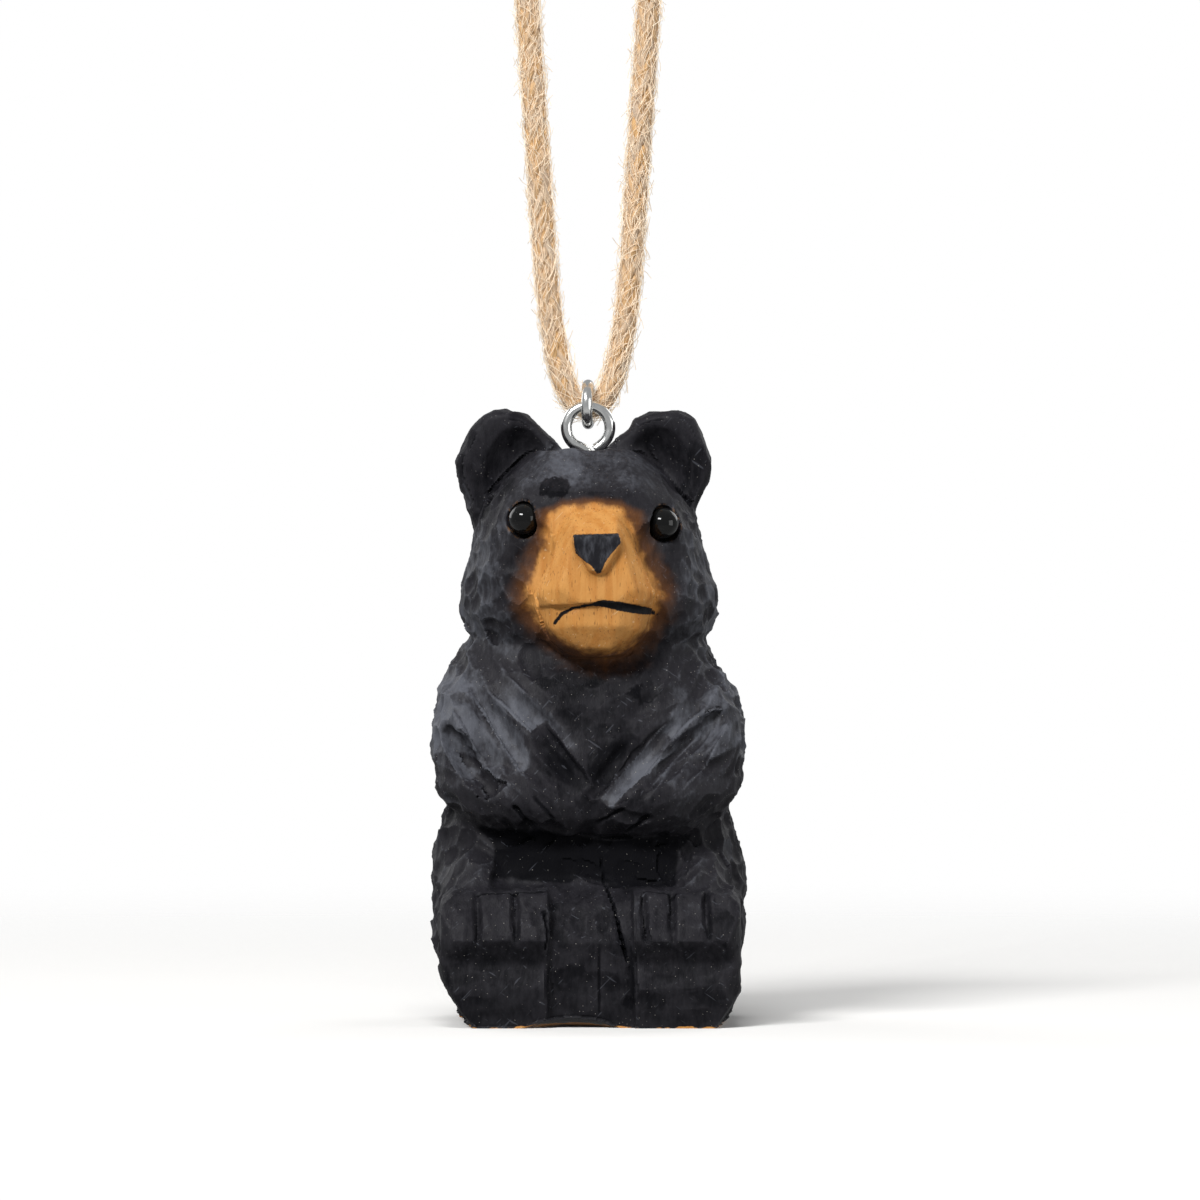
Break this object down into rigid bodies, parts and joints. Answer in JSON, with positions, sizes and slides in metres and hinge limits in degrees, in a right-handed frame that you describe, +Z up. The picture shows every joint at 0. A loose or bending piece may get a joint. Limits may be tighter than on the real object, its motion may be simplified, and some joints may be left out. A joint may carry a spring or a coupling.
{
  "type": "carved wooden bear ornament",
  "caption": "Small knife-carved seated bear in stained wood with bead eyes, hung by a screw eye and jump ring on a looped jute cord; it also stands on its sawn base.",
  "frame": {"origin": "middle of the bear's sawn underside, on the surface it stands on", "axes": "+Z up through the crown, +X to the viewer's right, the bear faces -Y"},
  "size_m": [0.0364, 0.035, 0.1596],
  "materials": {
    "stained_wood": "black stain, satin, with a bare honey-coloured muzzle",
    "bead_glass": "high gloss",
    "plated_steel": "bright plated",
    "jute": "braided, fibrous"
  },
  "bodies": {
    "root": {"bear": "stained_wood", "eye_left": "bead_glass", "eye_right": "bead_glass", "screw_eye": "plated_steel", "jump_ring": "plated_steel", "hanging_cord": "jute", "cord_knot": "jute"}
  },
  "joints": []
}
